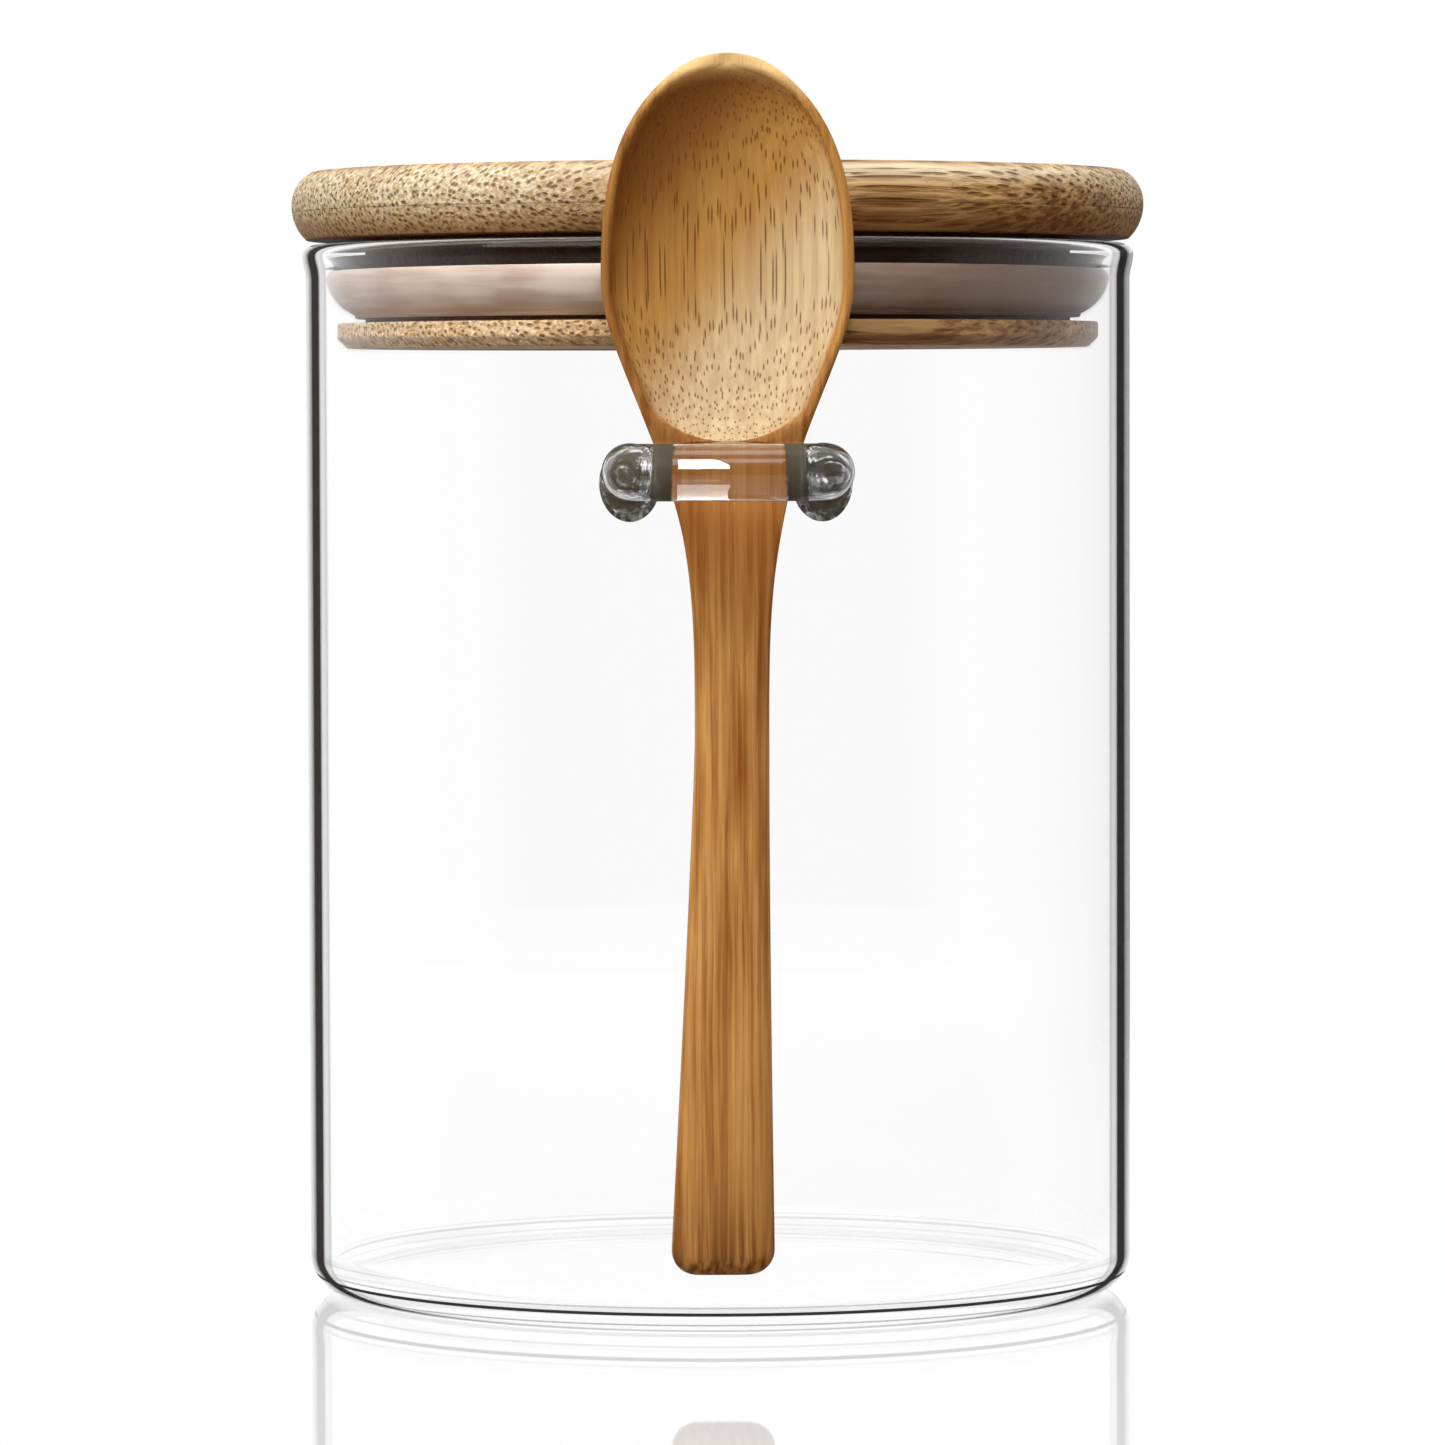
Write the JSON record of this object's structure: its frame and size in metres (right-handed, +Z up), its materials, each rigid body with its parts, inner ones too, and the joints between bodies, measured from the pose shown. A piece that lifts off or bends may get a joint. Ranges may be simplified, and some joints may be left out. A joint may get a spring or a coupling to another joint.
{
  "type": "food canister",
  "caption": "Straight-walled clear glass food jar with a push-in bamboo lid, a silicone seal ring and a bamboo spoon hung upright in a glass loop on its front.",
  "frame": {"origin": "centre of the jar's flat base, on the axis of its wall", "axes": "+Z up along the jar's axis, -Y towards the spoon and its loop, +X to the right when the spoon faces the viewer"},
  "size_m": [0.1034, 0.1222, 0.1475],
  "materials": {
    "glass": "clear",
    "silicone": "milky",
    "lid_bamboo": "sanded",
    "spoon_bamboo": "oiled"
  },
  "bodies": {
    "jar": {"jar_body": "glass", "spoon_loop": "glass"},
    "seal": {"seal_ring": "silicone"},
    "lid": {"plug_flange": "lid_bamboo", "plug_core": "lid_bamboo", "lid_lower_board": "lid_bamboo", "lid_top_board": "lid_bamboo"},
    "spoon": {"spoon": "spoon_bamboo"}
  },
  "joints": [
    {"name": "lid_lift", "type": "slide", "parent": "jar", "child": "seal", "axis": [0, 0, 1], "range_m": [0, 0.1]},
    {"name": "lid_turn", "type": "hinge", "parent": "seal", "child": "lid", "pos_m": [0, 0, 0.1276], "axis": [0, 0, 1], "continuous": true},
    {"name": "spoon_lift", "type": "slide", "parent": "jar", "child": "spoon", "axis": [0, 0, 1], "range_m": [0, 0.1]}
  ]
}
